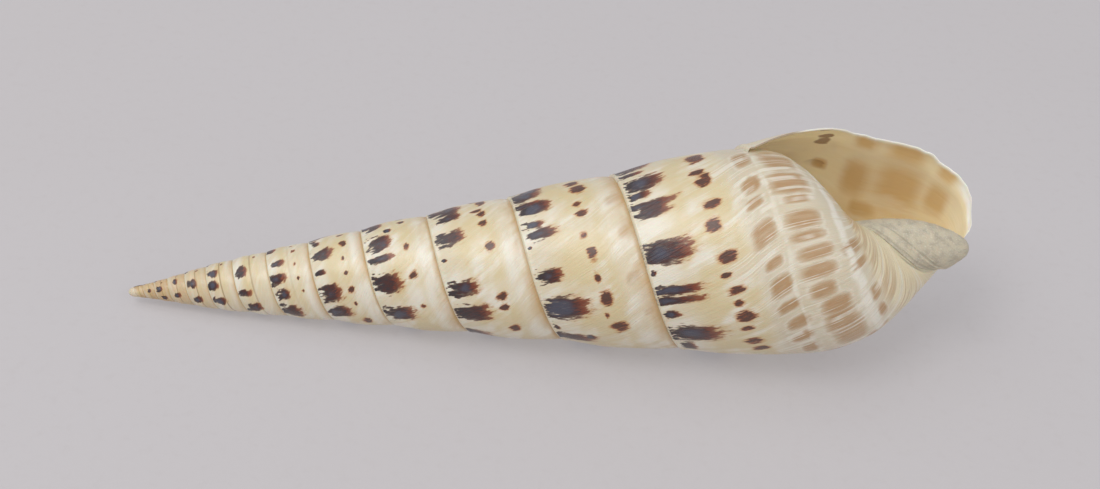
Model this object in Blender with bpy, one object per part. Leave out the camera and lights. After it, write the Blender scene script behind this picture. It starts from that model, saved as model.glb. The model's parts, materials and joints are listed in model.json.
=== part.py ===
"""An auger shell lying at rest with its aperture up: one solid piece with its spiral whorls, its thin outer
lip, the hollow of its body whorl and its columella. Metres, +Z up, the tip towards -X, the aperture +X."""

import math

import bmesh
import bpy
from mathutils import Vector

MM = 0.001

# Growth. Whorls wind round one axis, each larger than the one before. Distances along the axis start where
# the cone of whorls would close, a little beyond the worn tip. Turns count back from the lip's suture.
LAST_SUTURE = 124.1
GROWTH_PER_TURN = 1.2435
SLOPE_AT_LIP = 0.155
SLOPE_PER_TURN = -0.0034
FIRST_TURN = -13.0
LIP_TURN = 20 / 360
STEPS_PER_TURN = 24
TIP_AT = 5.2
BASE_AT = 150.0

# A whorl's outline from its suture to its base: how far past the suture, as a share of the suture's
# distance, and how far from the axis, as a share of the suture's radius. Fuller on the spire, slimmer on
# the last half turn. Rows 0 to 3 stay in sight when the next whorl covers the rest.
OUTLINE_SPIRE = (
    (0.0000, 1.000), (0.0850, 1.125), (0.1800, 1.190), (0.2435, 1.195), (0.2950, 1.125),
    (0.3350, 0.985), (0.3700, 0.810), (0.4000, 0.590), (0.4300, 0.375), (0.4540, 0.200),
)
OUTLINE_BODY = (
    (0.0000, 1.000), (0.0800, 1.084), (0.1750, 1.126), (0.2350, 1.116), (0.2850, 1.040),
    (0.3250, 0.925), (0.3600, 0.750), (0.3880, 0.570), (0.4110, 0.410), (0.4300, 0.260),
)
ROWS_IN_SIGHT = 3
COLUMNS_IN_SIGHT = 5
COLUMNS_BELOW = 8
SLIMS_FROM = -1.0
SLIMS_TO = -0.5
LIP_FLARE = 0.024

# The hollow of the body whorl, between its outer wall and the whorl before it.
HOLLOW_FROM = -1.25
HOLLOW_TO = 26 / 360
HOLLOW_COLUMNS = 12
LEAST_GAP = 0.5
WALL_DEEP = 1.5
WALL_AT_LIP = 0.75
CALLUS = 0.15

# The edge of the outer lip: degrees round the axis, and how far along it.
LIP_EDGE = (
    (-270, 158.0), (-180, 158.0), (-130, 160.0), (-105, 162.0), (-88, 164.5), (-57, 166.0), (-43, 165.0),
    (-40, 163.5), (-38, 161.5), (-31.5, 158.5), (-30, 154.0), (-28, 150.0), (-22, 145.5), (-14, 142.5),
    (-3, 141.0), (5, 138.0), (14, 131.5), (20, 124.0), (31, 124.0),
)
CLEAR_STEP = 5.0
CLEAR_COLUMNS = 10
CLEAR_RADIUS = 40.0
CLEAR_LENGTH = 190.0

# The columella: distance along the axis, sideways bend away from the aperture, radius.
COLUMELLA = (
    (110.0, 0.0, 2.2), (125.0, 0.0, 3.3), (138.0, 0.0, 3.95), (149.0, 0.0, 4.3), (153.5, -0.4, 4.25),
    (157.5, -1.5, 4.35), (159.5, -1.7, 3.7), (161.2, -1.8, 2.9), (162.6, -2.0, 2.2), (163.5, -2.1, 1.5),
    (163.9, -2.1, 0.7),
)
COLUMELLA_SIDES = 24

# How it lies: rolled round its axis, then its tip lowered until the side of the cone is on the floor.
ROLL = 62.5
PITCH = 8.52

COLOUR = (0.78, 0.70, 0.54, 1.0)
ROUGHNESS = 0.3


def smooth(x):
    x = min(max(x, 0.0), 1.0)
    return x * x * (3 - 2 * x)


def mix(a, b, share):
    return a + (b - a) * share


def between(table, x):
    """The second value at x in a table whose first values rise."""
    for (x0, y0), (x1, y1) in zip(table, table[1:]):
        if x <= x1:
            return mix(y0, y1, max(x - x0, 0.0) / (x1 - x0))
    return table[-1][1]


def along_rows(rows, place):
    """A point of the smooth curve through all rows, at a fractional row number."""
    k = min(int(place), len(rows) - 2)
    u = place - k
    a, b, c, d = (rows[min(max(n, 0), len(rows) - 1)] for n in (k - 1, k, k + 1, k + 2))
    return tuple(
        0.5 * (2 * q + (r - p) * u + (2 * p - 5 * q + 4 * r - s) * u**2 + (3 * q - p - 3 * r + s) * u**3)
        for p, q, r, s in zip(a, b, c, d)
    )


def suture(turn):
    return LAST_SUTURE * GROWTH_PER_TURN**turn


def outline(turn):
    """A whorl's outline in its half-plane through the axis: (along the axis, from the axis), in mm."""
    body = smooth((turn - SLIMS_FROM) / (SLIMS_TO - SLIMS_FROM))
    flare = 1 + LIP_FLARE * smooth((turn - SLIMS_TO) / -SLIMS_TO)
    reach = suture(turn)
    radius = reach * (SLOPE_AT_LIP + SLOPE_PER_TURN * turn)
    places = [ROWS_IN_SIGHT * k / COLUMNS_IN_SIGHT for k in range(COLUMNS_IN_SIGHT)]
    hidden_rows = len(OUTLINE_SPIRE) - 1 - ROWS_IN_SIGHT
    places += [ROWS_IN_SIGHT + hidden_rows * k / COLUMNS_BELOW for k in range(COLUMNS_BELOW + 1)]
    points = []
    for place in places:
        x0, r0 = along_rows(OUTLINE_SPIRE, place)
        x1, r1 = along_rows(OUTLINE_BODY, place)
        out = mix(r0, r1, body)
        points.append((reach * (1 + mix(x0, x1, body)), radius * out * (flare if out > 1 else 1)))
    return points


def inset(points, depth):
    """An outline moved towards the axis by depth, square to itself."""
    moved = []
    for k, (along, out) in enumerate(points):
        before = points[max(k - 1, 0)]
        after = points[min(k + 1, len(points) - 1)]
        da, dr = after[0] - before[0], after[1] - before[1]
        length = math.hypot(da, dr)
        moved.append((along + depth * dr / length, out - depth * da / length))
    return moved


def pillar(turn):
    """The columella's outline in one half-plane: (along the axis, from the axis), in mm."""
    a = 2 * math.pi * turn
    points = []
    for along, bend, radius in COLUMELLA:
        across = math.sqrt(max(radius**2 - (bend * math.sin(a)) ** 2, 0.0))
        points.append((along, max(bend * math.cos(a) + across, 0.0)))
    return points


def section(turn):
    """The hollow's two sides in one half-plane: inside the outer wall, and over the whorl before it."""
    wall = mix(WALL_DEEP, WALL_AT_LIP, smooth((turn + 0.6) / 0.6))
    outer = inset(outline(turn), wall)
    core = pillar(turn)
    inner = [p for p in outline(turn - 1)[COLUMNS_IN_SIGHT:] if p[1] > between(core, p[0])]
    inner += [p for p in core if p[0] > inner[-1][0] + 3.0]
    return outer, inset(inner, -CALLUS)


def at(along, out, degrees):
    a = math.radians(degrees)
    return Vector((along, out * math.cos(a), out * math.sin(a))) * MM


def solid(name, points, faces):
    """A closed mesh object with its faces pointing out."""
    mesh = bpy.data.meshes.new(name)
    bm = bmesh.new()
    made = [bm.verts.new(p) for p in points]
    for face in faces:
        bm.faces.new([made[k] for k in face])
    bmesh.ops.triangulate(bm, faces=bm.faces)
    bmesh.ops.recalc_face_normals(bm, faces=bm.faces)
    bm.to_mesh(mesh)
    bm.free()
    return bpy.data.objects.new(name, mesh)


def loft(name, rings):
    """A solid through a row of rings with the same number of points, closed at both ends."""
    points = [p for ring in rings for p in ring]
    n = len(rings[0])
    faces = [list(range(n)), list(range(len(points) - n, len(points)))]
    for start in range(0, len(points) - n, n):
        for k in range(n):
            a, b = start + k, start + (k + 1) % n
            faces.append((a, b, b + n, a + n))
    return solid(name, points, faces)


def filled_whorls():
    """The shell's outside as one closed body, its last whorl still filled."""
    rows = round((LIP_TURN - FIRST_TURN) * STEPS_PER_TURN)
    first = LIP_TURN - rows / STEPS_PER_TURN
    last = COLUMNS_IN_SIGHT + COLUMNS_BELOW
    body_from = rows - STEPS_PER_TURN
    points, index = [], {}
    for row in range(rows + 1):
        turn = first + row / STEPS_PER_TURN
        whole = outline(turn)
        for column, (along, out) in enumerate(whole if row >= body_from else whole[: COLUMNS_IN_SIGHT + 1]):
            index[row, column] = len(points)
            points.append(at(along, out, turn * 360))

    faces = []
    for row in range(rows):
        for column in range(last if row >= body_from else COLUMNS_IN_SIGHT):
            near = (index[row, column], index[row + 1, column])
            faces.append(near + (index[row + 1, column + 1], index[row, column + 1]))
        # The small ledge where the next whorl stands out over this one.
        ledge = row + STEPS_PER_TURN
        if ledge < rows:
            near = (index[row, COLUMNS_IN_SIGHT], index[row + 1, COLUMNS_IN_SIGHT])
            faces.append(near + (index[ledge + 1, 0], index[ledge, 0]))

    tip = len(points)
    base = tip + 1
    points += [at(TIP_AT, 0, 0), at(BASE_AT, 0, 0)]
    loop = [index[row, 0] for row in range(STEPS_PER_TURN + 1)]
    loop += [index[0, column] for column in range(COLUMNS_IN_SIGHT, -1, -1)]
    faces += [(tip, b, a) for a, b in zip(loop, loop[1:])]
    loop = [index[row, last] for row in range(body_from, rows + 1)] + [index[body_from, last]]
    faces += [(base, a, b) for a, b in zip(loop, loop[1:])]
    end = [index[rows, column] for column in range(last + 1)]
    end += [index[body_from, column] for column in range(last, COLUMNS_IN_SIGHT - 1, -1)]
    faces.append(end)
    return solid("auger_shell", points, faces)


def hollow():
    """The tube that is taken out of the last turn and a quarter."""
    rows = round((HOLLOW_TO - HOLLOW_FROM) * STEPS_PER_TURN)
    rings = []
    for row in range(rows + 1):
        turn = HOLLOW_FROM + row / STEPS_PER_TURN
        outer, inner = section(turn)
        stations = [suture(turn) * (1 + 0.44 * k / 200) for k in range(201)]
        clear = [s for s in stations if between(outer, s) - between(inner, s) > LEAST_GAP]
        across = [mix(clear[0], clear[-1], k / HOLLOW_COLUMNS) for k in range(HOLLOW_COLUMNS + 1)]
        ring = [at(s, between(outer, s), turn * 360) for s in across]
        ring += [at(s, between(inner, s), turn * 360) for s in reversed(across)]
        rings.append(ring)
    return loft("hollow", rings)


def beyond_lip():
    """What is taken off past the lip's edge, from the middle of the hollow outwards."""
    angles = [LIP_EDGE[0][0] + 1.0]
    for degrees, along in LIP_EDGE[1:]:
        before = angles[-1]
        parts = math.ceil((degrees - before) / CLEAR_STEP)
        angles += [mix(before, degrees, (k + 1) / parts) for k in range(parts)]
    rings = []
    for degrees in angles:
        outer, inner = section(degrees / 360)
        low = between(LIP_EDGE, degrees)
        inside, outside = [], []
        for k in range(CLEAR_COLUMNS + 1):
            s = mix(low, CLEAR_LENGTH, (k / CLEAR_COLUMNS) ** 1.5)
            floor = max(between(inner, s), 0.3)
            gap = max(between(outer, s) - floor, 0.0)
            inside.append(at(s, floor + 0.3 * gap + 0.1, degrees))
            outside.append(at(s, CLEAR_RADIUS, degrees))
        rings.append(inside + outside[::-1])
    return loft("beyond_lip", rings)


def columella():
    """The pillar that the whorls wind round, bent at its free end."""
    rings = []
    for along, bend, radius in COLUMELLA:
        ring = []
        for k in range(COLUMELLA_SIDES):
            a = 2 * math.pi * k / COLUMELLA_SIDES
            ring.append(Vector((along, bend + radius * math.cos(a), radius * math.sin(a))) * MM)
        rings.append(ring)
    return loft("columella", rings)


def join(body, tool, operation, tools):
    tools.objects.link(tool)
    tool.parent = body
    tool.hide_render = True
    tool.display_type = "WIRE"
    step = body.modifiers.new(tool.name, "BOOLEAN")
    step.operation = operation
    step.solver = "EXACT"
    step.object = tool


def lay_down(body):
    """Turns the shell to how it lies, with the middle of its footprint at the origin and its underside at 0."""
    body.rotation_euler = (math.radians(ROLL), math.radians(-PITCH), 0.0)
    bpy.context.view_layer.update()
    seen = body.evaluated_get(bpy.context.evaluated_depsgraph_get())
    points = [seen.matrix_world @ v.co for v in seen.data.vertices]
    low = [min(p[k] for p in points) for k in range(3)]
    high = [max(p[k] for p in points) for k in range(3)]
    body.location = (-(low[0] + high[0]) / 2, -(low[1] + high[1]) / 2, -low[2])


def main():
    for old in list(bpy.data.objects):
        bpy.data.objects.remove(old)
    parts = bpy.data.collections.new("auger_shell")
    tools = bpy.data.collections.new("cutters")
    for group in (parts, tools):
        bpy.context.scene.collection.children.link(group)

    shell = filled_whorls()
    parts.objects.link(shell)
    join(shell, columella(), "UNION", tools)
    join(shell, hollow(), "DIFFERENCE", tools)
    join(shell, beyond_lip(), "DIFFERENCE", tools)
    lay_down(shell)

    shell.data.shade_smooth()
    material = bpy.data.materials.new("shell")
    material.use_nodes = True
    surface = material.node_tree.nodes["Principled BSDF"]
    surface.inputs["Base Color"].default_value = COLOUR
    surface.inputs["Roughness"].default_value = ROUGHNESS
    surface.inputs["Metallic"].default_value = 0.0
    shell.data.materials.append(material)


main()
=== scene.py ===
"""The auger shell as it looks: fine surface, colour bands and blotches, glossy inside, on pale paper."""

import json
import math
from types import SimpleNamespace

import bpy
import numpy as np
from mathutils import Matrix, Vector

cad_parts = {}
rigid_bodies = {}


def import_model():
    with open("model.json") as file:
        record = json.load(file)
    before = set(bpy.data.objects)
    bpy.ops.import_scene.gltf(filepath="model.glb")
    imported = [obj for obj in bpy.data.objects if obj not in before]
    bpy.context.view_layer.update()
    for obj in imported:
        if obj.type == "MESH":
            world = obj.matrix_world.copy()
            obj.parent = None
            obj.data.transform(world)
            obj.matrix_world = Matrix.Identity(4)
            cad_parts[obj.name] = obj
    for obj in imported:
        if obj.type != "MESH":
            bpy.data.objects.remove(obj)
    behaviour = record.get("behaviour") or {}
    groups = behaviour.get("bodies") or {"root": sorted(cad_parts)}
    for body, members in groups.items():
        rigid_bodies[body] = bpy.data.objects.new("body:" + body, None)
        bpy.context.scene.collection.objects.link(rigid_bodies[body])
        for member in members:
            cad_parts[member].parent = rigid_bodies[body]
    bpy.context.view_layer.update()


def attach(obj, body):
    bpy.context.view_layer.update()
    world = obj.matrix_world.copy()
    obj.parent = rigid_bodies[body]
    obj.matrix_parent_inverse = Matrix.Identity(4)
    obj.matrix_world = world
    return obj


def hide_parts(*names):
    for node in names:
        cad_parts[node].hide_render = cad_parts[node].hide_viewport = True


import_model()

# The shell's growth and outline, close to the solid's. Lengths are in mm, along and from the shell's
# axis. Turn 0 is just before the lip's suture, and turns are negative on the whorls before it.
LAST_SUTURE = 124.1
GROWTH_PER_TURN = 1.2435
SLOPE_AT_LIP = 0.155
SLOPE_PER_TURN = -0.0034
FIRST_TURN = -13.0
LIP_TURN = 13 / 360
TIP_AT = 5.2
WORN_TIP = 6.2
OUTLINE_SPIRE = np.array([
    (0.0000, 1.000), (0.0850, 1.125), (0.1800, 1.190), (0.2435, 1.197), (0.2980, 1.140),
    (0.3350, 0.980), (0.3605, 0.775), (0.3790, 0.550), (0.4030, 0.345), (0.4360, 0.190),
])
OUTLINE_BODY = np.array([
    (0.0000, 1.000), (0.0800, 1.084), (0.1750, 1.126), (0.2350, 1.116), (0.2850, 1.040),
    (0.3250, 0.925), (0.3590, 0.745), (0.3855, 0.560), (0.4055, 0.395), (0.4230, 0.250),
])
TIP_SLIMS_BELOW = 24.0
TIP_SLIMS_BY = 0.67
BODY_FROM = -1.0
BODY_TO = -0.5
LIP_FLARE = 0.024
# The lip's edge: an angle round the axis in degrees, and how far along the axis the edge is there.
LIP_EDGE = np.array([
    (-270, 158.0), (-180, 158.0), (-130, 161.0), (-98, 165.0), (-83, 166.0), (-55, 166.5), (-46.5, 165.8),
    (-42.5, 164.5), (-40.5, 162.0), (-36.5, 160.0), (-35.5, 158.0), (-34.5, 152.0), (-32.5, 149.5),
    (-26, 145.4), (-13, 140.8), (-4.5, 135.0), (3, 130.3), (13, 125.2), (31, 125.2),
])
# The columella: along the axis, how far its middle bends aside, and its radius.
COLUMELLA = np.array([
    (110.0, 0.0, 2.2), (125.0, 0.0, 3.3), (138.0, 0.0, 3.95), (149.0, 0.0, 4.3), (153.5, -0.4, 4.25),
    (157.5, -1.5, 4.35), (159.5, -1.7, 3.7), (161.2, -1.8, 2.9), (162.6, -2.0, 2.2), (163.5, -2.1, 1.5),
    (163.9, -2.1, 0.7),
])
COLUMELLA_END = 163.9
# How the shell lies, in degrees, as the solid does.
ROLL = 62.5
PITCH = 8.52

# Fine relief, as shares of the whorl's radius.
RIM_HEIGHT = 0.010
RIM_TUCK = 0.045
SUTURE_DIP = 0.010
YOUNG_BEFORE = -4.6
YOUNG_GROOVE = 0.030
YOUNG_SWELL = 0.012
# Swellings of growth: their height, how many to a turn, and how much and how often they wander.
SWELLINGS = ((0.0016, 7.3, 1.7, 1.9), (0.0011, 19.1, 2.0, 3.7))
# The lip's small chips, in turns: fine ones as waves along the edge, and single ones by their share.
CHIP_WAVES = ((0.0005, 31, 0), (0.0003, 67, 1), (0.0002, 131, 2))
CHIPS = ((0.0030, 1.255, 0.03), (0.0012, 1.36, 0.02))

# The hollow of the last turn and a quarter: how deep it goes, and its wall at the lip and further in.
HOLLOW_FROM = -1.25
HOLLOW_ROWS = 330
EDGE_WALL = 0.34
LIP_WALL = 0.85
DEEP_WALL = 1.45
EDGE_BULGE = 0.16

# The ridge that ends the base beside the columella, as a share of the outline, and between which angles.
RIDGE_SHARE = 1.905
RIDGE_FROM = 22.0
RIDGE_TO = 190.0
# The ridges (+) and grooves (-) along it: height, how far past it, and half width, in mm.
BAND_RELIEF = ((0.12, 0.25, 0.3), (-0.10, 0.95, 0.4), (0.17, 3.0, 0.38), (-0.12, 3.7, 0.4))

# Rough lengths on the last whorl, which give the noise along the growth lines its scale.
MM_PER_TURN = 138.0
MM_PER_SHARE = 30.0

# The white bands that wind round the last whorl's lower half: share, strength and half width.
WHITE_BANDS = ((0.97, 0.45, 0.035), (1.37, 0.95, 0.065))

# The camera, as the picture's perspective gives it: the shell's closing point and axis seen in a frame
# 1100 wide and 489 high, with a focal length of 1600 in the same units.
FRAME = (1100, 489)
FOCAL = 1600.0
CLOSING_POINT = (97.1, 294.3)
AXIS_RISES = 3.88
AXIS_TOWARDS = 4.18
ROLL_SEEN = 7.9
MM_PER_UNIT = 124.1 / 650.0

# Angles round the axis that face the camera, from and to, in degrees.
IN_SIGHT = (2.0, 168.0)

# The marks that the picture shows, each as a box in its frame: left, top, right, bottom.
# First the large dark marks by the sutures, from the last whorl to the first.
LARGE_MARKS = (
    (617, 161, 655, 173), (621, 176, 662, 190), (624, 192, 650, 200), (627, 202, 662, 210),
    (631, 207, 668, 218), (641, 240, 682, 266), (651, 272, 656, 276), (652, 286, 689, 296),
    (655, 297, 686, 305), (662, 311, 682, 318), (670, 327, 711, 341), (682, 343, 696, 349),
    (514, 188, 544, 196), (517, 195, 536, 199), (519, 202, 551, 214), (522, 222, 543, 229),
    (524, 228, 556, 240), (528, 246, 532, 250), (536, 269, 562, 284), (544, 298, 582, 320),
    (554, 325, 560, 329), (560, 334, 578, 339), (586, 335, 596, 339),
    (433, 208, 461, 215), (435, 215, 462, 222), (436, 231, 464, 246), (441, 259, 447, 263),
    (447, 281, 478, 297), (455, 306, 488, 321), (466, 329, 477, 333),
    (366, 225, 381, 230), (383, 229, 391, 233), (367, 236, 391, 251), (369, 255, 393, 263),
    (373, 274, 399, 295), (385, 308, 414, 320),
    (311, 234, 333, 239), (311, 243, 319, 247), (311, 249, 332, 260), (314, 270, 326, 276),
    (317, 285, 342, 303), (327, 307, 352, 317),
    (268, 261, 283, 268), (270, 274, 281, 285), (276, 289, 291, 300), (281, 306, 304, 317),
    (235, 266, 246, 278), (238, 290, 249, 297), (246, 304, 262, 311),
    (207, 270, 218, 278), (208, 281, 218, 290), (214, 298, 227, 305),
    (188, 278, 196, 290), (193, 297, 203, 303), (171, 279, 177, 285), (174, 293, 181, 298),
    (157, 286, 162, 292), (162, 296, 168, 300), (147, 289, 151, 293),
)
# The small dark marks at the middle of the whorls.
SMALL_MARKS = (
    (684, 155, 705, 162), (688, 169, 705, 176), (693, 177, 710, 187), (701, 199, 721, 209),
    (705, 217, 722, 233), (718, 250, 738, 264), (720, 272, 733, 279), (726, 286, 745, 295),
    (734, 300, 745, 307), (737, 310, 757, 322), (740, 326, 755, 331), (746, 338, 764, 344),
    (753, 346, 770, 350),
    (570, 185, 586, 193), (572, 201, 582, 207), (575, 209, 588, 217), (579, 231, 588, 238),
    (587, 246, 597, 260), (594, 272, 601, 284), (600, 290, 613, 306), (605, 313, 610, 319),
    (612, 322, 629, 332), (475, 200, 485, 206), (477, 211, 486, 217), (478, 220, 487, 226),
    (485, 241, 495, 251), (496, 292, 508, 301), (500, 304, 510, 311), (510, 325, 521, 331),
    (403, 243, 409, 250), (409, 271, 418, 279), (420, 304, 427, 308), (340, 241, 346, 247),
    (341, 256, 344, 261), (344, 270, 348, 275), (348, 286, 355, 294), (354, 301, 358, 306),
    (364, 318, 373, 323), (302, 289, 305, 293), (293, 262, 296, 266), (297, 276, 300, 280),
)
# The pale brown blocks of the last whorl, and the smudges by the suture on the whorl before.
BLOCKS = (
    (730, 152, 752, 167), (739, 175, 763, 194), (744, 196, 766, 209), (750, 218, 780, 248),
    (764, 256, 786, 270), (769, 273, 796, 299), (776, 299, 803, 313), (785, 315, 813, 330),
    (790, 331, 817, 341), (801, 343, 822, 352),
    (763, 152, 791, 166), (771, 170, 811, 193), (783, 194, 812, 203), (785, 208, 824, 229),
    (790, 229, 830, 241), (797, 243, 838, 260), (800, 261, 842, 279), (809, 280, 840, 299),
    (821, 294, 856, 314), (823, 308, 863, 330), (831, 319, 873, 343),
    (822, 192, 836, 206), (831, 211, 858, 232), (842, 236, 868, 254), (850, 256, 872, 268),
    (868, 280, 884, 302), (876, 300, 890, 318),
    (603, 193, 623, 203), (617, 223, 630, 238), (625, 269, 642, 284), (643, 307, 657, 315),
)

# The same on the inner face of the lip.
INNER_BLOCKS = (
    (855, 137, 880, 149), (888, 144, 933, 163), (938, 164, 964, 186), (840, 158, 869, 196),
    (875, 164, 926, 212), (926, 184, 953, 216), (845, 200, 872, 216), (812, 158, 827, 168),
)
INNER_DARK = ((818, 127, 832, 131), (818, 134, 835, 139))
# The rows of blocks on the side that the picture doesn't show: share and half length.
HIDDEN_BLOCK_ROWS = ((0.80, 0.09), (1.05, 0.12), (1.33, 0.10))


def smooth(x):
    x = np.clip(x, 0.0, 1.0)
    return x * x * (3 - 2 * x)


def mix(a, b, share):
    return a + (b - a) * share


def bell(x, middle, width):
    return np.exp(-(((x - middle) / width) ** 2))


def suture(turn):
    """How far along the axis the suture is."""
    return LAST_SUTURE * GROWTH_PER_TURN**turn


def suture_radius(turn):
    return suture(turn) * (SLOPE_AT_LIP + SLOPE_PER_TURN * turn)


def along_rows(rows, place):
    """Points of the smooth curve through all rows, at fractional row numbers."""
    k = np.minimum(place.astype(int), len(rows) - 2)
    u = (place - k)[..., None]
    p, q, r, s = (rows[np.clip(n, 0, len(rows) - 1)] for n in (k - 1, k, k + 1, k + 2))
    square, cube = 2 * p - 5 * q + 4 * r - s, 3 * q - p - 3 * r + s
    return 0.5 * (2 * q + (r - p) * u + square * u**2 + cube * u**3)


def outline(turn, share):
    """Along the axis and from it. share is 0 at a suture, 1 at the next one, and 2 at the base's end."""
    turn, share = np.broadcast_arrays(np.asarray(turn, float), np.asarray(share, float))
    place = np.where(share < 1, np.maximum(share, 0) * 3, 3 + (share - 1) * 6)
    body = smooth((turn - BODY_FROM) / (BODY_TO - BODY_FROM))
    spire, last = along_rows(OUTLINE_SPIRE, place), along_rows(OUTLINE_BODY, place)
    r = mix(spire[..., 1], last[..., 1], body)
    r = r * (1 + LIP_FLARE * smooth((turn - BODY_TO) / -BODY_TO) * smooth((r - 0.85) / 0.2))
    along = suture(turn) * (1 + mix(spire[..., 0], last[..., 0], body))
    tip = 1 - TIP_SLIMS_BY * (np.maximum(0, TIP_SLIMS_BELOW - along) / TIP_SLIMS_BELOW) ** 1.5
    return along, suture_radius(turn) * r * tip


# How far each growth line trails behind, in degrees, from the suture to the base's end.
LAG = np.array([
    (0.0, 0), (0.23, 8), (0.38, 15), (0.55, 21), (0.74, 31), (0.96, 37), (1.1, 40), (1.3, 43),
    (1.45, 46), (1.59, 52), (1.68, 60), (1.79, 80), (1.85, 92), (1.9, 117), (2.0, 182),
])


def lag(share):
    """How far behind the suture a growth line is, in turns, along a line without corners."""
    near = (-0.08, -0.04, 0.0, 0.04, 0.08)
    return sum(np.interp(share + d, LAG[:, 0], LAG[:, 1]) for d in near) / len(near) / 360


def grown(turn, share):
    """When a point grew, in turns: the same all along a growth line."""
    return turn + lag(share)


def marked(turn, share):
    """The same all along a dark mark, which slants less than the growth lines do."""
    return turn + lag(share) * (0.2 + 0.4 * share)


def surface(turn, share):
    """The outline with its fine form: suture rims, the young whorls' groove, swellings of growth."""
    along, out = outline(turn, share)
    turn, share = np.broadcast_arrays(np.asarray(turn, float), np.asarray(share, float))
    under = np.clip(-share / 0.05, 0, 1) * math.pi / 2
    along = along - 0.0034 * suture(turn) * np.sin(under)
    rim = RIM_HEIGHT * bell(share, 0.012, 0.022) - RIM_TUCK * (1 - np.cos(under))
    young = smooth((YOUNG_BEFORE - turn) / 2.5)
    groove = young * (YOUNG_SWELL * bell(share, 0.2, 0.15) - YOUNG_GROOVE * bell(share, 0.44, 0.045))
    dip = -SUTURE_DIP * bell(share, 0.985, 0.05) * (turn < -1)
    when = grown(turn, share) * 2 * math.pi
    swell = sum(h * np.sin(when * n + by * np.sin(when * often)) for h, n, by, often in SWELLINGS)
    swell = swell * smooth(share / 0.08) * (1 - smooth((share - 1.75) / 0.2))
    return along, out + suture_radius(turn) * (rim + groove + dip + swell)


def lip_turns(shares):
    """The turn at which each line of the outline reaches the lip's edge, with its small chips."""
    turns = LIP_TURN - np.arange(0, 0.64, 0.0004)
    edge = np.interp(turns * 360, LIP_EDGE[:, 0], LIP_EDGE[:, 1])
    along, out = outline(turns[:, None], shares[None, :])
    reached = turns[np.argmax(along <= edge[:, None], axis=0)]
    chips = sum(height * np.sin(shares * waves + phase) for height, waves, phase in CHIP_WAVES)
    chips = chips * smooth((shares - 0.15) / 0.3)
    for depth, at, half in CHIPS:
        chips = chips - depth * bell(shares, at, half)
    return reached + chips


def wheel(along, out, turn):
    """Points in the shell's own frame, in mm."""
    a = turn * 2 * math.pi
    return np.stack([along, out * np.cos(a), out * np.sin(a)], axis=-1)


def turned():
    """How the shell lies: rolled about its axis, then pitched."""
    return Matrix.Rotation(math.radians(-PITCH), 4, "Y") @ Matrix.Rotation(math.radians(ROLL), 4, "X")


def placed():
    """From the shell's own frame to the world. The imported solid's tip fixes where it lies."""
    solid = next(thing for thing in bpy.data.objects if thing.name == "auger_shell")
    tip = min((vertex.co for vertex in solid.data.vertices), key=lambda co: co.x)
    return Matrix.Translation(tip - turned().to_3x3() @ Vector((TIP_AT * 0.001, 0, 0))) @ turned()


PLACE = placed()


def from_camera():
    """From the shell's own frame to the camera's, in metres."""
    rises, towards = math.radians(AXIS_RISES), math.radians(AXIS_TOWARDS)
    right, up = math.cos(rises), math.sin(rises)
    axis = Vector((right * math.cos(towards), up * math.cos(towards), math.sin(towards)))
    top = Vector((-up, right, 0.0))
    basis = Matrix((axis, top, axis.cross(top))).transposed().to_4x4()
    point = Vector((CLOSING_POINT[0] - FRAME[0] / 2, FRAME[1] / 2 - CLOSING_POINT[1], -FOCAL))
    rolled = Matrix.Rotation(math.radians(ROLL_SEEN), 4, "X")
    return Matrix.Translation(point * MM_PER_UNIT * 0.001) @ basis @ rolled


SEEN = np.array(from_camera())


def picture(turn, share, depth=0.0):
    """Where the picture shows a place of the shell's outside, or one so many mm below it."""
    along, out = outline(turn, share)
    seen = wheel(along, out - depth, turn) * 0.001 @ SEEN[:3, :3].T + SEEN[:3, 3]
    right = FRAME[0] / 2 - FOCAL * seen[..., 0] / seen[..., 2]
    down = FRAME[1] / 2 + FOCAL * seen[..., 1] / seen[..., 2]
    return np.stack([right, down], axis=-1)


def inner_grid():
    """Places behind the lip, and where the picture shows them."""
    turns, shares = np.meshgrid(np.arange(-0.34, LIP_TURN, 0.004), np.linspace(0, 1.8, 80), indexing="ij")
    turns, shares = turns.ravel(), shares.ravel()
    return turns, shares, picture(turns, shares, LIP_WALL), LIP_WALL


def seen_grid():
    """Places on the side that faces the camera, and where the picture shows them."""
    turns, shares = [], []
    for first, last, low, high in ((FIRST_TURN, 0.0, 0.0, 1.0), (-1.0, 0.0, 1.0, 1.98)):
        t, s = np.meshgrid(np.arange(first, last, 0.008), np.linspace(low, high, 40), indexing="ij")
        angle = (t * 360) % 360
        faces = (angle > IN_SIGHT[0]) & (angle < IN_SIGHT[1])
        turns.append(t[faces])
        shares.append(s[faces])
    turns, shares = np.concatenate(turns), np.concatenate(shares)
    return turns, shares, picture(turns, shares), 0.0


OUTER_GRID = seen_grid()
INNER_GRID = inner_grid()


def found(points, grid):
    """The turns and shares of points in the picture: the nearest of the grid, then made exact."""
    points = np.asarray(points, float)
    turns, shares, pixels, depth = grid
    nearest = [int(np.argmin(((pixels - p) ** 2).sum(axis=1))) for p in points]
    turn, share = turns[nearest].copy(), shares[nearest].copy()
    for _ in range(4):
        here = picture(turn, share, depth)
        by_turn = (picture(turn + 1e-4, share, depth) - here) / 1e-4
        by_share = (picture(turn, share + 1e-4, depth) - here) / 1e-4
        off = points - here
        area = by_turn[:, 0] * by_share[:, 1] - by_turn[:, 1] * by_share[:, 0]
        area = np.where(np.abs(area) < 50, 50 * np.sign(area + 1e-9), area)
        turn += np.clip((off[:, 0] * by_share[:, 1] - off[:, 1] * by_share[:, 0]) / area, -0.01, 0.01)
        share += np.clip((by_turn[:, 0] * off[:, 1] - by_turn[:, 1] * off[:, 0]) / area, -0.03, 0.03)
    return turn, share


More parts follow.
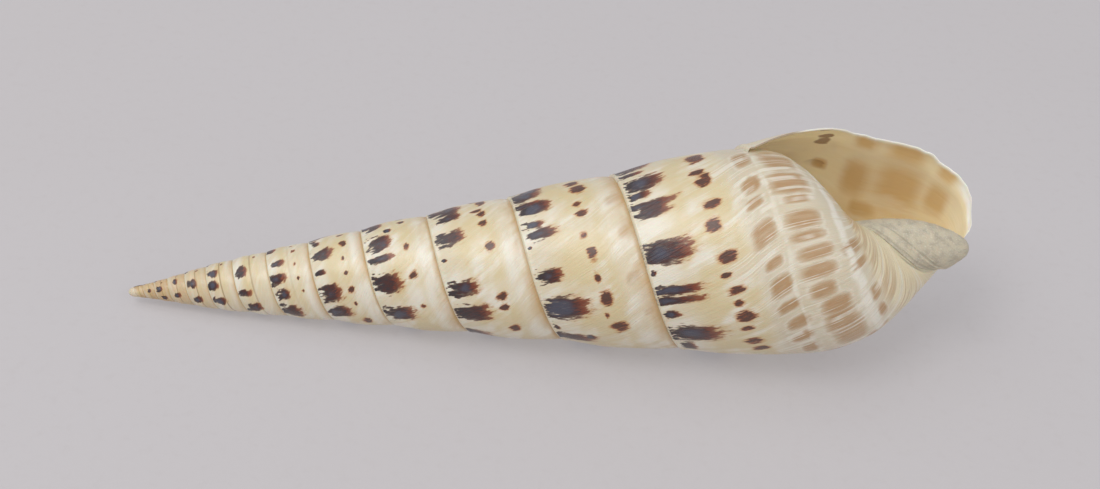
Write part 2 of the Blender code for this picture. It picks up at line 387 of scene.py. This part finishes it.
def boxes(marks, widest, follows, grid):
    """Marks from boxes in the picture, as rows: when, share, half width in turns, half length."""
    b = np.asarray(marks, float)
    across, down = (b[:, 0] + b[:, 2]) / 2, (b[:, 1] + b[:, 3]) / 2
    turn, share = found(np.stack([across, down], axis=1), grid)
    left = found(np.stack([b[:, 0], down], axis=1), grid)
    right = found(np.stack([b[:, 2], down], axis=1), grid)
    top = found(np.stack([across, b[:, 1]], axis=1), grid)
    low = found(np.stack([across, b[:, 3]], axis=1), grid)
    half_long = np.clip(np.abs(right[1] - left[1]) / 2, 0.01, 0.2)
    half_wide = np.clip(np.abs(follows(*low) - follows(*top)) / 2, 0.004, widest)
    return np.stack([follows(turn, share), share, half_wide, half_long], axis=1)


def hidden_marks():
    """The same kinds of marks on the side that the picture doesn't show, as rows like those of boxes."""
    rng = np.random.default_rng(7)
    large, small, tan = [], [], []
    for whorl in range(-int(FIRST_TURN)):
        start, end = -whorl + IN_SIGHT[1] / 360 - 1, -whorl + IN_SIGHT[0] / 360
        turn = start + 0.02
        while turn < end - 0.01:
            wide = rng.uniform(0.012, 0.032)
            long = rng.uniform(0.09, 0.17)
            turn += wide
            large.append((turn + 0.02, long * 0.8, wide, long))
            if rng.uniform() < 0.45:
                beside = turn + 0.02 + wide * 1.6
                large.append((beside, long * 0.6, wide * 0.35, long * rng.uniform(0.4, 1.0)))
            turn += wide + rng.uniform(0.01, 0.045)
        turn = start + 0.02
        while turn < end - 0.01:
            turn += rng.uniform(0.03, 0.08)
            at, wide, long = rng.uniform(0.50, 0.57), rng.uniform(0.006, 0.013), rng.uniform(0.03, 0.06)
            small.append((turn + 0.06, at, wide, long))
    for row, length in HIDDEN_BLOCK_ROWS:
        turn = IN_SIGHT[1] / 360 - 1
        while turn < -0.28:
            wide = rng.uniform(0.013, 0.024)
            turn += wide
            at, long = row + rng.uniform(-0.02, 0.02), length * rng.uniform(0.85, 1.1)
            tan.append((turn + 0.1, at, wide, long))
            turn += wide + rng.uniform(0.006, 0.016)
    return large, small, tan


def laid(when, share, marks, sharpness):
    """How far inside a mark each place is, 1 at its middle and 0 at its edge, and where along it."""
    inside = np.full(when.shape, -1.0)
    along = np.zeros(when.shape)
    for turn, at, wide, long in marks:
        near = (np.abs(when - turn) < 2 * wide) & (np.abs(share - at) < 2 * long)
        u, v = (when[near] - turn) / wide, (share[near] - at) / long
        depth = 1 - (np.abs(u) ** sharpness + np.abs(v) ** sharpness) ** (1 / sharpness)
        better = depth > inside[near]
        place = np.flatnonzero(near)[better]
        inside.flat[place] = depth[better]
        along.flat[place] = v[better]
    return inside, along


HIDDEN = hidden_marks()
LARGE = list(boxes(LARGE_MARKS, 0.04, marked, OUTER_GRID)) + HIDDEN[0]
SMALL = list(boxes(SMALL_MARKS, 0.02, marked, OUTER_GRID)) + HIDDEN[1]
SMALL += list(boxes(INNER_DARK, 0.006, marked, INNER_GRID))
TAN = list(boxes(BLOCKS, 0.05, grown, OUTER_GRID)) + HIDDEN[2]
TAN += list(boxes(INNER_BLOCKS, 0.05, grown, INNER_GRID))


def colour_fields(turn, share):
    """The values that the outside's and inside's materials read at each point."""
    when, mark = grown(turn, share), marked(turn, share)
    large, large_along = laid(mark, share, LARGE, 2.6)
    small, _ = laid(mark, share, SMALL, 2.2)
    tan, _ = laid(when, share, TAN, 3.5)
    size = suture(turn) / LAST_SUTURE
    return {
        "share": share,
        "turn": turn,
        "large": large,
        "large_along": large_along,
        "small": small,
        "tan": tan,
        "across": MM_PER_TURN * when * size**0.5,
        "mark_across": MM_PER_TURN * mark * size**0.5,
        "down": MM_PER_SHARE * share * size**0.5,
    }


def grid_faces(rows, columns, start=0, flip=False):
    r, c = np.meshgrid(np.arange(rows - 1), np.arange(columns - 1), indexing="ij")
    a = (start + r * columns + c).ravel()
    quads = np.stack([a, a + columns, a + columns + 1, a + 1], axis=1)
    return quads[:, ::-1] if flip else quads


def mesh_piece(name, points, faces, fields):
    """A mesh from points in the shell's own frame, with named values at its points."""
    matrix = np.array(PLACE)
    world = points * 0.001 @ matrix[:3, :3].T + matrix[:3, 3]
    mesh = bpy.data.meshes.new(name)
    mesh.from_pydata(world.tolist(), [], [tuple(int(k) for k in face) for face in faces])
    for field, values in fields.items():
        made = mesh.attributes.new(field, "FLOAT", "POINT")
        made.data.foreach_set("value", np.ascontiguousarray(values, dtype=np.float32).ravel())
    mesh.shade_smooth()
    mesh.update()
    piece = bpy.data.objects.new(name, mesh)
    bpy.context.scene.collection.objects.link(piece)
    return piece


def lagged(turns, shares):
    """Rows of turns that bend, over the last turn, until the last row is the lip's edge."""
    turn, share = np.meshgrid(turns, shares, indexing="ij")
    trail = LIP_TURN - lip_turns(np.maximum(shares, 0))
    return turn - trail[None, :] * smooth(turn - LIP_TURN + 1.0), share


def outside():
    # Each stretch: first turn, last turn, rows to a turn, lines from suture to suture, and where it ends.
    stretches = (
        (FIRST_TURN, -8.3, 100, 14, 1.03), (-8.3, -4.3, 150, 24, 1.03), (-4.3, -2.3, 220, 38, 1.03),
        (-2.3, -1.3, 280, 54, 1.03), (-1.3, LIP_TURN, 260, 54, 2.0),
    )
    parts = []
    for first, last, rows, lines, end in stretches:
        turns = np.linspace(first, last, int(round((last - first) * rows)) + 1)
        shares = np.concatenate([(-0.05, -0.032, -0.016), np.linspace(0, 1, lines + 1), [end]])
        turn, share = np.meshgrid(turns, shares, indexing="ij")
        if last == LIP_TURN:
            turn, share = lagged(turns, np.concatenate([shares[:-1], np.linspace(1, end, 53)[1:]]))
        along, out = surface(turn, share)
        parts.append((wheel(along, out, turn), colour_fields(turn, share)))

    # The worn tip: the first ring is drawn in to a blunt point.
    first_ring = slice(0, 101), 3
    ring = parts[0][0][first_ring]
    lean = np.linspace(0, math.pi / 2, 9)[:, None]
    cap = np.stack([
        WORN_TIP + (ring[None, :, 0] - WORN_TIP) * (1 - np.sin(lean)),
        ring[None, :, 1] * np.cos(lean),
        ring[None, :, 2] * np.cos(lean),
    ], axis=-1)
    cap_fields = {
        name: np.broadcast_to(values[first_ring], cap.shape[:2]) for name, values in parts[0][1].items()
    }
    parts.append((cap, cap_fields))

    faces, count = [], 0
    for k, (points, _) in enumerate(parts):
        faces.append(grid_faces(points.shape[0], points.shape[1], count, flip=k < len(parts) - 1))
        count += points.shape[0] * points.shape[1]
    points = np.concatenate([part.reshape(-1, 3) for part, _ in parts])
    fields = {name: np.concatenate([own[name].ravel() for _, own in parts]) for name in cap_fields}
    return mesh_piece("shell_outside", points, np.concatenate(faces), fields)


def wall_thickness(back, share):
    """The wall so many degrees behind the lip's edge. It thins towards the base's end."""
    wall = mix(EDGE_WALL, LIP_WALL, smooth(back / 12)) + (DEEP_WALL - LIP_WALL) * smooth((back - 10) / 150)
    return wall * (1 - 0.75 * smooth((share - 1.60) / 0.2))


def inside():
    """The inner face of the outer wall, with the lip's rounded edge and the hollow's closed end."""
    shares = np.concatenate([np.linspace(0, 1, 46), np.linspace(1, 2, 53)[1:]])
    turns = np.linspace(HOLLOW_FROM, LIP_TURN, HOLLOW_ROWS)
    turn, share = lagged(turns, shares)
    along, out = surface(turn, share)
    before, after = outline(turn, share - 0.004), outline(turn, share + 0.004)
    da, dr = after[0] - before[0], after[1] - before[1]
    length = np.hypot(da, dr)
    back = np.broadcast_to((LIP_TURN - turns)[:, None] * 360, turn.shape)
    wall = wall_thickness(back, share)
    skin = wheel(along + wall * dr / length, out - wall * da / length, turn)

    # The edge: half an ellipse from the inner face to the outer one.
    face, behind = wheel(along[-1], out[-1], turn[-1]), wheel(along[-2], out[-2], turn[-2])
    ahead = (face - behind) / np.linalg.norm(face - behind, axis=-1, keepdims=True) * EDGE_BULGE
    middle, half = (face + skin[-1]) / 2, (face - skin[-1]) / 2
    edge = [middle - half * math.cos(a) + ahead * math.sin(a) for a in np.linspace(0, math.pi, 6)[1:]]

    # The closed end: the first row drawn in towards the columella.
    closing = np.linspace(1, 0, 7)[:-1, None, None]
    centre = skin[0] * np.array([1.0, 0.15, 0.15])
    shut = mix(skin[0][None], centre[None], closing)
    rows = np.concatenate([shut, skin, np.array(edge)])

    def all_rows(values, at_edge):
        return np.concatenate([np.repeat(values[:1], len(shut), 0), values, at_edge])

    turn = all_rows(turn, np.repeat(turn[-1:], len(edge), 0))
    fields = colour_fields(turn, np.broadcast_to(shares, turn.shape))
    # Past the edge, the rows count on below 0.
    beyond = np.linspace(-1, -6, len(edge))[:, None] * np.ones(len(shares))
    fields["from_edge"] = all_rows(back, beyond)
    return mesh_piece("shell_inside", rows.reshape(-1, 3), grid_faces(len(rows), len(shares)), fields)


def columella():
    """The pillar at the middle, with the band and the ridges that wind down to its end."""
    along = np.concatenate([np.linspace(112, 141, 20)[:-1], np.linspace(141, COLUMELLA_END, 210)])
    angles = np.linspace(0, 2 * math.pi, 181)
    s, a = np.meshgrid(along, angles, indexing="ij")
    bend = np.interp(s, COLUMELLA[:, 0], COLUMELLA[:, 1])
    core = np.interp(s, COLUMELLA[:, 0], COLUMELLA[:, 2])
    degrees = np.degrees(a)
    ridge_along, ridge_out = outline(degrees / 360 - 1, RIDGE_SHARE)
    past = s - ridge_along
    winds = smooth((degrees - RIDGE_FROM) / 30) * (1 - smooth((degrees - RIDGE_TO) / 30))
    hold = winds * (1 - smooth(past / 6.0))
    relief = sum(height * bell(past, at, half) for height, at, half in BAND_RELIEF)
    rise = ridge_out + 0.16 + np.minimum(past, 0) * 2.4
    rise = np.maximum(rise, core * (past < 0))
    radius = mix(core, rise, hold) + relief * winds
    bend = bend * (1 - hold)
    lumps = np.sin(s * 0.9 + 2 * a) * np.sin(s * 0.37 - a) + 0.5 * np.sin(s * 2.3 - 3 * a + 1)
    radius = radius + 0.07 * lumps * smooth((s - 148) / 4) * smooth((COLUMELLA_END - s) / 3)
    points = np.stack([s, bend + radius * np.cos(a), radius * np.sin(a)], axis=-1)
    end = points[-1:].copy()
    end[..., 1:] = end[..., 1:].mean(axis=1, keepdims=True)
    end[..., 0] += 0.15
    points = np.concatenate([points, end])
    rows = {"past": past, "winds": winds, "along": s, "angle": a}
    fields = {name: np.concatenate([values, values[-1:]]) for name, values in rows.items()}
    faces = grid_faces(len(points), len(angles), flip=True)
    return mesh_piece("columella", points.reshape(-1, 3), faces, fields)


class Nodes:
    """Short names for making the nodes of one material."""

    def __init__(self, name):
        self.material = bpy.data.materials.new(name)
        self.material.use_nodes = True
        self.tree = self.material.node_tree
        self.shader = self.tree.nodes["Principled BSDF"]

    def put(self, socket, value):
        if isinstance(value, bpy.types.NodeSocket):
            self.tree.links.new(value, socket)
        else:
            socket.default_value = value

    def field(self, name):
        node = self.tree.nodes.new("ShaderNodeAttribute")
        node.attribute_name = name
        return node.outputs["Fac"]

    def math(self, operation, a, b=0.0, c=0.0):
        node = self.tree.nodes.new("ShaderNodeMath")
        node.operation = operation
        for socket, value in zip(node.inputs, (a, b, c)):
            self.put(socket, value)
        return node.outputs[0]

    def times(self, *values):
        product = values[0]
        for value in values[1:]:
            product = self.math("MULTIPLY", product, value)
        return product

    def plus(self, a, b):
        return self.math("ADD", a, b)

    def scaled(self, value, by, offset):
        return self.math("MULTIPLY_ADD", value, by, offset)

    def wobble(self, noise, by):
        """Noise about 0, so much from its lowest to its highest."""
        return self.scaled(noise, by, -0.5 * by)

    def step(self, value, low, high):
        """0 to 1 as the value goes from low to high, which may be the smaller."""
        node = self.tree.nodes.new("ShaderNodeMapRange")
        node.interpolation_type = "SMOOTHSTEP"
        self.put(node.inputs["Value"], value)
        if low < high:
            node.inputs["From Min"].default_value, node.inputs["From Max"].default_value = low, high
        else:
            node.inputs["From Min"].default_value, node.inputs["From Max"].default_value = high, low
            node.inputs["To Min"].default_value, node.inputs["To Max"].default_value = 1.0, 0.0
        return node.outputs["Result"]

    def beside(self, value, at, none, full):
        """1 where the value is within full of a number, and 0 where it is more than none off it."""
        return self.step(self.math("ABSOLUTE", self.plus(value, -at)), none, full)

    def paint(self, under, over, share):
        node = self.tree.nodes.new("ShaderNodeMix")
        node.data_type = "RGBA"
        self.put(node.inputs["Factor"], share)
        self.put(node.inputs["A"], under)
        self.put(node.inputs["B"], over)
        return node.outputs["Result"]

    def vector(self, x, y, z=0.0):
        node = self.tree.nodes.new("ShaderNodeCombineXYZ")
        for socket, value in zip(node.inputs, (x, y, z)):
            self.put(socket, value)
        return node.outputs[0]

    def noise(self, vector, scale=1.0, detail=3.0, roughness=0.55):
        node = self.tree.nodes.new("ShaderNodeTexNoise")
        self.put(node.inputs["Vector"], vector)
        self.put(node.inputs["Scale"], scale)
        self.put(node.inputs["Detail"], detail)
        self.put(node.inputs["Roughness"], roughness)
        return node.outputs["Fac"]

    def bump(self, height, strength, distance, normal=None):
        node = self.tree.nodes.new("ShaderNodeBump")
        self.put(node.inputs["Height"], height)
        self.put(node.inputs["Strength"], strength)
        self.put(node.inputs["Distance"], distance)
        if normal is not None:
            self.put(node.inputs["Normal"], normal)
        return node.outputs["Normal"]

    def streaks(self, across, down, detail=3.0):
        """Noise drawn out along the growth lines: so many to a mm across them and along them."""
        x = self.times(self.field("across"), across)
        return self.noise(self.vector(x, self.times(self.field("down"), down)), 1.0, detail)

    def shade(self, inputs):
        """Set the shader's inputs by name, and give the finished material."""
        for name, value in inputs.items():
            self.put(self.shader.inputs[name], value)
        return self.material


def rgb(r, g, b):
    """A colour given as it looks on screen, 0 to 255."""
    def linear(c):
        c = c / 255
        return c / 12.92 if c <= 0.04045 else ((c + 0.055) / 1.055) ** 2.4
    return (linear(r), linear(g), linear(b), 1.0)


# The outside's colours.
WHITE = rgb(236, 230, 214)
IVORY = rgb(222, 208, 178)
CREAM = rgb(216, 197, 150)
AMBER_AND_SUTURE_SHADE = rgb(190, 148, 86)
BEIGE = rgb(212, 199, 172)
TAN_BROWN = rgb(178, 138, 92)
RUST = rgb(138, 60, 22)
OCHRE = rgb(196, 134, 60)
MAROON = rgb(66, 20, 17)
PURPLE = rgb(38, 24, 32)
SLATE = rgb(66, 70, 88)
BASE_CREAM = rgb(236, 222, 184)
GROOVE_BROWN = rgb(150, 118, 74)
STAIN = rgb(186, 150, 110)
RIM_CREAM = rgb(226, 212, 182)
SUTURE_BROWN = rgb(120, 84, 50)
# The inside's colours.
LIP_CREAM = rgb(230, 212, 172)
INNER_YELLOW = rgb(230, 200, 142)
INNER_OCHRE = rgb(228, 188, 108)
INNER_TAN = rgb(200, 154, 84)
TOP_CREAM = rgb(242, 226, 180)
INNER_STREAK = rgb(232, 218, 182)
INNER_BROWN = rgb(112, 70, 50)
CHIPPED = rgb(248, 244, 232)
EDGE_PALE = rgb(240, 234, 216)
EDGE_BROWN = rgb(134, 104, 70)
# The columella's colours.
PILLAR_PALE = rgb(202, 193, 172)
PILLAR_GREY = rgb(178, 168, 146)
PILLAR_YELLOW = rgb(196, 180, 140)
PILLAR_WHITE = rgb(230, 225, 210)
PILLAR_GROOVE_SHADE = rgb(160, 150, 128)
DEEP_SPECK_GREY = rgb(96, 92, 82)
# The paper's colours.
PAPER = rgb(214, 211, 214)
PAPER_CLOUD = rgb(208, 204, 206)
PAPER_FIBRE = rgb(202, 197, 198)
PAPER_LIT = rgb(140, 136, 136)


def outside_values(n):
    """What the outside's paints read: places on the shell, and noise drawn out along the growth lines."""
    turn, mark, down = n.field("turn"), n.field("mark_across"), n.field("down")
    return SimpleNamespace(
        share=n.field("share"),
        turn=turn,
        last=n.step(turn, -1.12, -0.98),
        wide=n.streaks(0.22, 0.045),
        middle=n.streaks(0.8, 0.10),
        fine=n.streaks(3.6, 0.16),
        cloud=n.streaks(0.16, 0.16, 2.0),
        fingers=n.noise(n.vector(n.times(mark, 1.55), n.times(down, 0.28)), 1.0, 2.0),
        ragged=n.noise(n.vector(n.times(mark, 4.0), n.times(down, 0.8), 7.0), 1.0, 2.0),
    )


def ground(n, v):
    """Ivory with white growth streaks, and a creamier band behind the middle marks."""
    white = n.step(n.plus(v.wide, n.times(v.middle, 0.35)), 0.60, 0.76)
    colour = n.paint(IVORY, WHITE, n.times(white, 0.75))
    band = n.times(n.step(v.share, 0.14, 0.34), n.step(v.share, 0.74, 0.58))
    cream = n.step(n.plus(v.cloud, n.times(v.middle, 0.3)), 0.85, 0.55)
    return n.paint(colour, CREAM, n.times(band, cream, 0.85))


def lower_half(n, v, colour):
    """The last whorl's lower half: beige, with pale brown blocks, white bands and pale growth lines."""
    lower = n.times(v.last, n.step(v.share, 0.62, 0.74))
    colour = n.paint(colour, BEIGE, n.times(lower, 0.85))
    block = n.plus(n.field("tan"), n.wobble(v.fingers, 0.4))
    edge = n.times(n.step(block, -0.30, -0.05), n.step(block, 0.12, -0.02), lower)
    colour = n.paint(colour, WHITE, n.times(edge, n.step(v.middle, 0.36, 0.56), 0.4))
    tan = n.times(n.step(block, -0.18, 0.46), n.scaled(v.last, 0.5, 0.45))
    tan = n.times(tan, n.scaled(n.step(v.middle, 0.66, 0.45), 0.22, 0.72))
    colour = n.paint(colour, TAN_BROWN, tan)

    base = n.times(v.last, n.step(v.share, 1.46, 1.58))
    colour = n.paint(colour, BASE_CREAM, n.times(base, 0.85))
    streaks = n.step(n.plus(v.middle, n.times(v.fine, 0.3)), 0.74, 0.60)
    colour = n.paint(colour, TAN_BROWN, n.times(base, streaks, n.step(v.share, 1.9, 1.6), 0.55))

    wavy = n.plus(v.share, n.wobble(v.cloud, 0.12))
    for at, strength, half in WHITE_BANDS:
        band = n.times(n.beside(wavy, at, half, half * 0.2), n.step(v.middle, 0.30, 0.55))
        colour = n.paint(colour, WHITE, n.times(band, v.last, strength))
    thin = n.beside(n.streaks(0.42, 0.0, 1.0), 0.5, 0.020, 0.004)
    growth = n.times(thin, n.step(v.share, 0.30, 0.60), n.step(v.cloud, 0.38, 0.56))
    return n.paint(colour, WHITE, n.times(growth, n.scaled(v.last, 0.35, 0.3)))


def amber_and_suture_shade(n, v, colour):
    """Amber all over the young whorls; towards the next suture, amber that is partly the shell's own
    colour and partly painted shade at the suture; and the young whorls' brown groove.
    """
    # Towards the next suture: partly the shell's own amber, partly painted shade going into the suture.
    near = n.times(n.step(v.share, 0.70, 1.0), n.step(v.turn, -1.0, -1.08), n.step(v.cloud, 0.34, 0.62))
    colour = n.paint(colour, AMBER_AND_SUTURE_SHADE, n.times(near, 0.68))
    # A narrower band just before the suture: painted shade in the suture's crease.
    suture_shade = n.times(n.step(v.share, 0.90, 0.985), n.step(v.turn, -1.0, -1.04))
    colour = n.paint(colour, AMBER_AND_SUTURE_SHADE, n.times(suture_shade, 0.72))
    patches = n.step(n.plus(v.cloud, n.times(v.share, 0.25)), 0.30, 0.70)
    colour = n.paint(colour, AMBER_AND_SUTURE_SHADE, n.times(n.step(v.turn, -6.5, -12.0), patches, 0.75))
    groove = n.times(n.beside(v.share, 0.45, 0.030, 0.008), n.step(v.turn, -5.0, -8.0))
    return n.paint(colour, GROOVE_BROWN, n.times(groove, 0.7))


def large_marks(n, v, colour):
    """Ragged fingers where they start by the suture, rust where they end, slate in patches."""
    place = n.field("large_along")
    start = n.step(place, 0.3, -0.8)
    cut = n.times(n.plus(v.fingers, -0.5), n.scaled(start, 2.2, 1.0))
    large = n.plus(n.math("MINIMUM", n.field("large"), 0.48), n.plus(cut, n.wobble(v.ragged, 0.7)))
    stain = n.times(n.step(large, -0.30, 0.12), n.step(place, -0.1, 0.9))
    colour = n.paint(colour, OCHRE, n.times(stain, 0.6))
    colour = n.paint(colour, STAIN, n.times(n.step(large, -0.14, 0.05), 0.5))

    ink = n.paint(PURPLE, MAROON, n.step(n.plus(v.ragged, n.times(place, 0.20)), 0.40, 0.56))
    slate = n.step(n.plus(v.cloud, n.times(n.field("large"), 0.3)), 0.62, 0.82)
    ink = n.paint(ink, SLATE, n.times(slate, n.step(place, 0.75, 0.1), 0.85))
    end = n.step(n.plus(place, n.wobble(v.ragged, 1.6)), 0.35, 0.95)
    ink = n.paint(ink, RUST, n.times(end, 0.8))
    strength = n.scaled(n.step(large, 0.05, 0.35), 0.18, 0.8)
    return n.paint(colour, ink, n.times(n.step(large, -0.03, 0.09), strength))


def small_marks(n, v, colour):
    """Rust and maroon dots at the middle of the whorls, with ochre round them."""
    small = n.plus(n.math("MINIMUM", n.field("small"), 0.5), n.wobble(v.fingers, 1.5))
    small = n.plus(small, n.wobble(v.ragged, 0.8))
    colour = n.paint(colour, OCHRE, n.times(n.step(small, -0.40, 0.05), 0.6))
    dots = n.paint(RUST, MAROON, n.step(n.plus(small, n.wobble(v.ragged, 1.2)), 0.08, 0.36))
    return n.paint(colour, dots, n.times(n.step(small, -0.06, 0.20), 0.92))


def suture_line(n, v, colour):
    """A thin pale rim at the suture, and a brown line just before it."""
    rim = n.times(n.step(v.share, 0.020, 0.008), n.scaled(n.step(v.ragged, 0.62, 0.45), 0.4, 0.45))
    colour = n.paint(colour, RIM_CREAM, rim)
    line = n.times(n.step(v.share, 0.972, 0.994), n.step(v.turn, -1.0, -1.02))
    return n.paint(colour, SUTURE_BROWN, n.times(line, 0.8))


def outside_material():
    n = Nodes("shell_outside")
    v = outside_values(n)
    colour = ground(n, v)
    for layer in (lower_half, amber_and_suture_shade, large_marks, small_marks, suture_line):
        colour = layer(n, v, colour)
    lines = n.plus(n.times(v.middle, 0.5), n.times(n.streaks(9.0, 0.25, 2.0), 0.25))
    return n.shade({
        "Base Color": colour,
        "Roughness": n.scaled(v.fine, 0.22, 0.26),
        "Coat Weight": 0.35,
        "Coat Roughness": 0.2,
        "Subsurface Weight": 0.12,
        "Subsurface Scale": 0.002,
        "Normal": n.bump(n.plus(n.times(v.fine, 0.6), lines), 0.5, 0.0005),
    })


def inside_material():
    n = Nodes("shell_inside")
    share, edge, block = n.field("share"), n.field("from_edge"), n.field("tan")
    wide, middle = n.streaks(0.18, 0.05), n.streaks(0.7, 0.10)
    cloud = n.streaks(0.12, 0.12, 2.0)

    # Cream at the lip, yellow and then ochre further in, with tan blocks and a pale patch high up.
    colour = n.paint(LIP_CREAM, INNER_YELLOW, n.step(edge, 15.0, 70.0))
    colour = n.paint(colour, INNER_OCHRE, n.step(n.plus(edge, n.times(cloud, 60.0)), 75.0, 170.0))
    tan = n.step(n.plus(block, n.wobble(middle, 0.5)), -0.45, 0.55)
    colour = n.paint(colour, INNER_TAN, n.times(tan, 0.65))
    top = n.times(n.step(share, 0.95, 0.5), n.step(edge, 160.0, 40.0), n.step(block, 0.1, -0.5))
    colour = n.paint(colour, TOP_CREAM, n.times(top, n.step(cloud, 0.25, 0.5), 0.85))
    colour = n.paint(colour, INNER_STREAK, n.times(n.step(wide, 0.55, 0.7), 0.4))
    dark = n.step(n.plus(n.field("small"), n.wobble(middle, 1.6)), -0.10, 0.25)
    colour = n.paint(colour, INNER_BROWN, n.times(dark, n.step(edge, 40.0, 20.0), 0.8))

    # The lip's edge: white, broad where it is chipped, and brown near the suture.
    chipped = n.times(n.step(edge, 9.0, 3.0), n.step(share, 1.50, 1.60))
    colour = n.paint(colour, CHIPPED, n.times(chipped, 0.85))
    colour = n.paint(colour, EDGE_PALE, n.step(edge, 2.6, -0.5))
    brown = n.times(n.step(edge, 1.5, -0.5), n.step(share, 0.42, 0.30))
    colour = n.paint(colour, EDGE_BROWN, n.times(brown, 0.8))

    # A little emission stands for the light that comes through the thin wall.
    return n.shade({
        "Base Color": colour,
        "Emission Color": colour,
        "Emission Strength": 0.08,
        "Roughness": 0.24,
        "Coat Weight": 0.5,
        "Coat Roughness": 0.1,
        "Subsurface Weight": 0.35,
        "Subsurface Scale": 0.004,
        "Subsurface Radius": (1.0, 0.6, 0.25),
        "Normal": n.bump(n.plus(wide, n.times(middle, 0.4)), 0.35, 0.0006),
    })


def columella_material():
    n = Nodes("columella")
    past, along, angle = n.field("past"), n.field("along"), n.field("angle")
    place = n.vector(along, n.times(angle, 4.2))
    lines = n.noise(n.vector(n.times(past, 2.6), n.times(angle, 2.0)), 1.0, 3.0)
    cloud, specks = n.noise(place, 0.55, 4.0, 0.6), n.noise(place, 3.2, 3.0, 0.6)
    colour = n.paint(PILLAR_PALE, PILLAR_GREY, n.step(cloud, 0.40, 0.66))
    yellow = n.step(n.plus(cloud, n.times(lines, 0.5)), 0.82, 0.66)
    colour = n.paint(colour, PILLAR_YELLOW, n.times(yellow, 0.3))
    colour = n.paint(colour, PILLAR_WHITE, n.times(n.step(specks, 0.50, 0.72), 0.5))
    # The two grooves along the band are painted darker: painted shade in the grooves.
    groove_shade = n.plus(n.beside(past, 0.9, 0.5, 0.1), n.beside(past, 3.65, 0.4, 0.05))
    groove_shade = n.times(groove_shade, n.field("winds"), n.step(specks, 0.36, 0.56))
    colour = n.paint(colour, PILLAR_GROOVE_SHADE, n.times(groove_shade, 0.6))
    # Dark grey specks on the part further in, fading out between 148 and 152 mm along the axis.
    deep_specks = n.times(n.step(specks, 0.60, 0.70), n.step(along, 152.0, 148.0))
    colour = n.paint(colour, DEEP_SPECK_GREY, n.times(deep_specks, 0.6))
    height = n.plus(n.times(lines, 0.7), n.plus(n.times(cloud, 0.7), n.times(specks, 0.3)))
    return n.shade({
        "Base Color": colour,
        "Roughness": n.scaled(specks, 0.3, 0.38),
        "Subsurface Weight": 0.1,
        "Subsurface Scale": 0.002,
        "Normal": n.bump(height, 0.5, 0.0006),
    })


def paper_material():
    n = Nodes("paper")
    place = n.tree.nodes.new("ShaderNodeTexCoord").outputs["Object"]
    colour = n.paint(PAPER, PAPER_CLOUD, n.noise(place, 7.0, 2.0))
    fibre = n.step(n.noise(place, 420.0, 3.0), 0.5, 0.75)
    colour = n.paint(colour, PAPER_FIBRE, n.times(fibre, 0.35))
    # Scattered light from all round lifts the paper, so that shadows on it stay faint.
    return n.shade({
        "Base Color": n.paint(colour, PAPER_LIT, 0.95),
        "Emission Color": colour,
        "Emission Strength": 0.42,
        "Roughness": 0.85,
        "Specular IOR Level": 0.2,
        "Normal": n.bump(n.noise(place, 1100.0, 4.0), 0.12, 0.0002),
    })


def camera():
    data = bpy.data.cameras.new("camera")
    data.sensor_width = 36.0
    data.lens = 36.0 * FOCAL / FRAME[0]
    data.clip_start = 0.01
    made = bpy.data.objects.new("camera", data)
    made.matrix_world = PLACE @ from_camera().inverted()
    bpy.context.scene.collection.objects.link(made)
    bpy.context.scene.camera = made
    return made


def lamp(name, view, where, size, power):
    """A soft square light. It is placed in the camera's directions: right, up, towards it, in metres."""
    data = bpy.data.lights.new(name, "AREA")
    data.shape = "SQUARE"
    data.size = size
    data.energy = power
    made = bpy.data.objects.new(name, data)
    made.location = view.matrix_world.to_3x3() @ Vector(where)
    made.rotation_euler = made.location.to_track_quat("Z", "Y").to_euler()
    bpy.context.scene.collection.objects.link(made)


def floor():
    half = 4.0
    corners = [(-half, -half, 0), (half, -half, 0), (half, half, 0), (-half, half, 0)]
    mesh = bpy.data.meshes.new("paper")
    mesh.from_pydata(corners, [], [(0, 1, 2, 3)])
    made = bpy.data.objects.new("paper", mesh)
    bpy.context.scene.collection.objects.link(made)
    mesh.materials.append(paper_material())


def room():
    """Even light from all round, slightly cool."""
    world = bpy.data.worlds.new("room")
    world.use_nodes = True
    background = world.node_tree.nodes["Background"]
    background.inputs["Color"].default_value = (0.94, 0.95, 1.0, 1.0)
    background.inputs["Strength"].default_value = 0.50
    bpy.context.scene.world = world
    bpy.context.scene.view_settings.view_transform = "Standard"


def main():
    for piece, material in (
        (outside(), outside_material()),
        (inside(), inside_material()),
        (columella(), columella_material()),
    ):
        piece.data.materials.append(material)
        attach(piece, "root")
        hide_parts("auger_shell")
    floor()
    view = camera()
    lamp("window", view, (-0.42, 0.50, 0.88), 0.55, 4.2)
    lamp("side", view, (-0.5, 0.8, 0.45), 0.8, 2.2)
    lamp("fill", view, (0.60, -0.35, 0.8), 1.1, 2.4)
    lamp("end", view, (0.9, 0.30, 0.60), 0.7, 1.4)
    room()


main()
